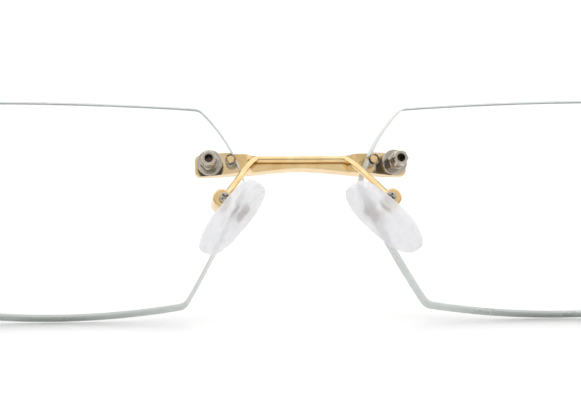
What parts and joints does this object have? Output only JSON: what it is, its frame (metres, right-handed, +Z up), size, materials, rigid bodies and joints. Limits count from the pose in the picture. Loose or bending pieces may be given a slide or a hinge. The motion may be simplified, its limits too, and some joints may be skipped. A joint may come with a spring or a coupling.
{
  "type": "rimless eyeglasses",
  "caption": "Rimless eyeglasses with clear lenses screwed to a slim gold bridge, silicone nose pads on wire arms, and folding temples.",
  "frame": {"origin": "centre of the bounding box at its base, on the table that the glasses stand on", "axes": "+Z up; +Y from the lenses towards the wearer, along the open temples; +X towards the wearer's left"},
  "size_m": [0.1452, 0.1506, 0.0345],
  "materials": {
    "polished_gold": "polished gold plating",
    "steel": "polished nickel-plated steel",
    "clear_lens": "clear polymer, coated",
    "clear_nylon": "translucent",
    "pad_silicone": "milky translucent silicone",
    "pad_metal": "satin",
    "brown_acetate": "polished"
  },
  "bodies": {
    "front": {"bridge_bar": "polished_gold", "pad_arm_wire": "polished_gold", "left_lens": "clear_lens", "right_lens": "clear_lens", "left_endpiece": "polished_gold", "right_endpiece": "polished_gold", "left_endpiece_hinge": "polished_gold", "right_endpiece_hinge": "polished_gold", "left_hinge_screw": "steel", "right_hinge_screw": "steel", "left_hinge_washers": "clear_nylon", "right_hinge_washers": "clear_nylon", "left_pad_box": "polished_gold", "right_pad_box": "polished_gold", "left_pad_screw": "steel", "right_pad_screw": "steel", "left_inner_screw": "steel", "right_inner_screw": "steel", "left_inner_bushing": "clear_nylon", "right_inner_bushing": "clear_nylon", "left_inner_washer": "steel", "right_inner_washer": "steel", "left_inner_lock_nut": "steel", "right_inner_lock_nut": "steel", "left_inner_barrel_nut": "steel", "right_inner_barrel_nut": "steel", "left_inner_notch_sleeve": "clear_nylon", "right_inner_notch_sleeve": "clear_nylon", "left_outer_screw": "steel", "right_outer_screw": "steel", "left_outer_bushing": "clear_nylon", "right_outer_bushing": "clear_nylon", "left_outer_washer": "steel", "right_outer_washer": "steel", "left_outer_lock_nut": "steel", "right_outer_lock_nut": "steel", "left_outer_barrel_nut": "steel", "right_outer_barrel_nut": "steel", "left_outer_notch_sleeve": "clear_nylon", "right_outer_notch_sleeve": "clear_nylon"},
    "left_temple": {"left_temple_hinge": "polished_gold", "left_temple_arm": "polished_gold", "left_temple_tip": "brown_acetate"},
    "right_temple": {"right_temple_hinge": "polished_gold", "right_temple_arm": "polished_gold", "right_temple_tip": "brown_acetate"},
    "left_pad": {"left_nose_pad": "pad_silicone", "left_pad_core": "pad_metal"},
    "right_pad": {"right_nose_pad": "pad_silicone", "right_pad_core": "pad_metal"}
  },
  "joints": [
    {"name": "left_temple_fold", "type": "hinge", "parent": "front", "child": "left_temple", "pos_m": [0.0692, -0.05571, 0.02705], "axis": [0, -0.061, 0.9981], "range_deg": [0, 90]},
    {"name": "right_temple_fold", "type": "hinge", "parent": "front", "child": "right_temple", "pos_m": [-0.0692, -0.05571, 0.02705], "axis": [0, 0.061, -0.9981], "range_deg": [0, 85]},
    {"name": "left_pad_rock", "type": "hinge", "parent": "front", "child": "left_pad", "pos_m": [0.01295, -0.06475, 0.01868], "axis": [0, 0.9613, 0.2756], "range_deg": [-10, 10]},
    {"name": "right_pad_rock", "type": "hinge", "parent": "front", "child": "right_pad", "pos_m": [-0.01295, -0.06475, 0.01868], "axis": [0, -0.9613, -0.2756], "range_deg": [-10, 10]}
  ]
}
